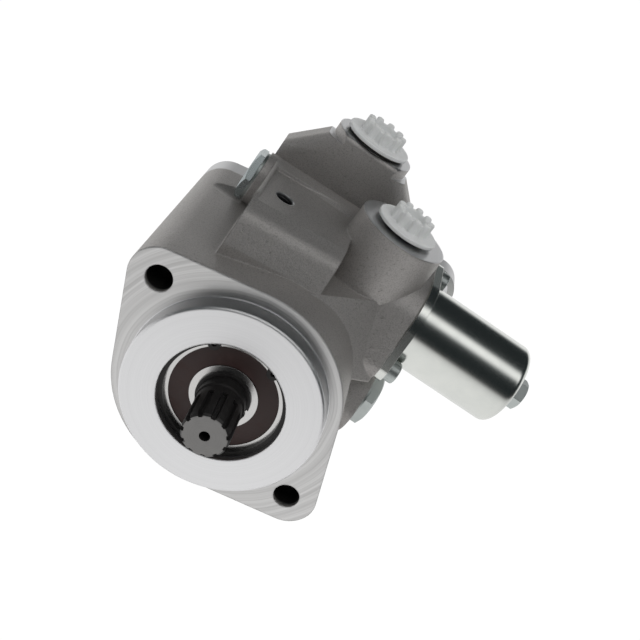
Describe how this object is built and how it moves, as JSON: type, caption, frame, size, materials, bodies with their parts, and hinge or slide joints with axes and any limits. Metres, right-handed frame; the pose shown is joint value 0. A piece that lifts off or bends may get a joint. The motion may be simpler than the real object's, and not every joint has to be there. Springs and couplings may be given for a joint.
{
  "type": "power steering pump",
  "caption": "Flange-mounted vane pump with a splined drive shaft, two plugged ports on top and a spring can for its regulating piston on one side.",
  "frame": {"origin": "on the drive shaft axis, in the plane of the mounting flange", "axes": "-Y out along the drive shaft, +Z out of the two ports, +X out of the spring can"},
  "size_m": [0.1735, 0.1551, 0.1458],
  "materials": {
    "cast_aluminium": "fine sand-like die-cast skin",
    "machined_aluminium": "turned or milled, satin",
    "zinc_steel": "zinc plated, clear passivate",
    "bright_zinc": "drawn steel, bright zinc plated",
    "black_steel": "phosphated, oiled, near black",
    "bearing_steel": "ground",
    "ground_steel": "ground and lapped",
    "cage_steel": "pressed strip",
    "spring_steel": "drawn wire, oiled",
    "bronze": "turned",
    "seal_rubber": "dark red-brown moulded rubber",
    "black_rubber": "moulded",
    "white_plastic": "moulded polyethylene, slightly glossy"
  },
  "bodies": {
    "pump_casing": {"housing": "cast_aluminium", "rear_cover": "machined_aluminium", "rear_cover_bolts": "zinc_steel", "rear_cover_seal": "black_rubber", "rear_bush": "bronze", "bearing_outer_ring": "bearing_steel", "bearing_front_seal": "seal_rubber", "bearing_rear_seal": "seal_rubber", "bearing_circlip": "black_steel", "shaft_seal": "seal_rubber", "front_side_plate": "ground_steel", "cam_ring": "ground_steel", "pressure_plate": "ground_steel", "pressure_plate_seal": "black_rubber", "dowel_pins": "bearing_steel", "pressure_plate_spring": "spring_steel", "valve_plug": "zinc_steel", "valve_plug_washer": "zinc_steel", "valve_spring": "spring_steel", "spring_can": "bright_zinc", "can_plate": "bright_zinc", "can_bolts": "zinc_steel", "can_seal": "black_rubber", "adjuster_screw": "zinc_steel", "adjuster_washer": "zinc_steel", "adjuster_spring_seat": "ground_steel", "regulating_spring": "spring_steel", "side_plug": "zinc_steel", "side_plug_washer": "zinc_steel"},
    "rotating_group": {"drive_shaft": "black_steel", "bearing_inner_ring": "bearing_steel", "shaft_snap_ring": "black_steel", "rotor": "ground_steel", "vanes": "bearing_steel"},
    "ball_train": {"bearing_balls": "bearing_steel", "bearing_cage": "cage_steel"},
    "spool": {"valve_spool": "ground_steel"},
    "piston": {"regulating_piston": "ground_steel", "piston_spring_seat": "ground_steel"},
    "pressure_cap": {"pressure_plug": "white_plastic", "pressure_plug_seal": "black_rubber"},
    "suction_cap": {"suction_plug": "white_plastic", "suction_plug_seal": "black_rubber"}
  },
  "joints": [
    {"name": "shaft_spin", "type": "hinge", "parent": "pump_casing", "child": "rotating_group", "pos_m": [0, 0, 0], "axis": [0, 1, 0], "continuous": true},
    {"name": "ball_train_spin", "type": "hinge", "parent": "pump_casing", "child": "ball_train", "pos_m": [0, 0, 0], "axis": [0, 1, 0], "continuous": true},
    {"name": "spool_slide", "type": "slide", "parent": "pump_casing", "child": "spool", "axis": [-1, 0, 0], "range_m": [0, 0.006], "deforming": ["valve_spring"]},
    {"name": "piston_slide", "type": "slide", "parent": "pump_casing", "child": "piston", "axis": [1, 0, 0], "range_m": [0, 0.009], "deforming": ["regulating_spring"]},
    {"name": "pressure_cap_pull", "type": "slide", "parent": "pump_casing", "child": "pressure_cap", "axis": [0, 0, 1], "range_m": [0, 0.025]},
    {"name": "suction_cap_pull", "type": "slide", "parent": "pump_casing", "child": "suction_cap", "axis": [0, 0, 1], "range_m": [0, 0.025]}
  ],
  "couplings": [
    {"joint": "ball_train_spin", "follows": "shaft_spin", "ratio": 0.3677}
  ]
}
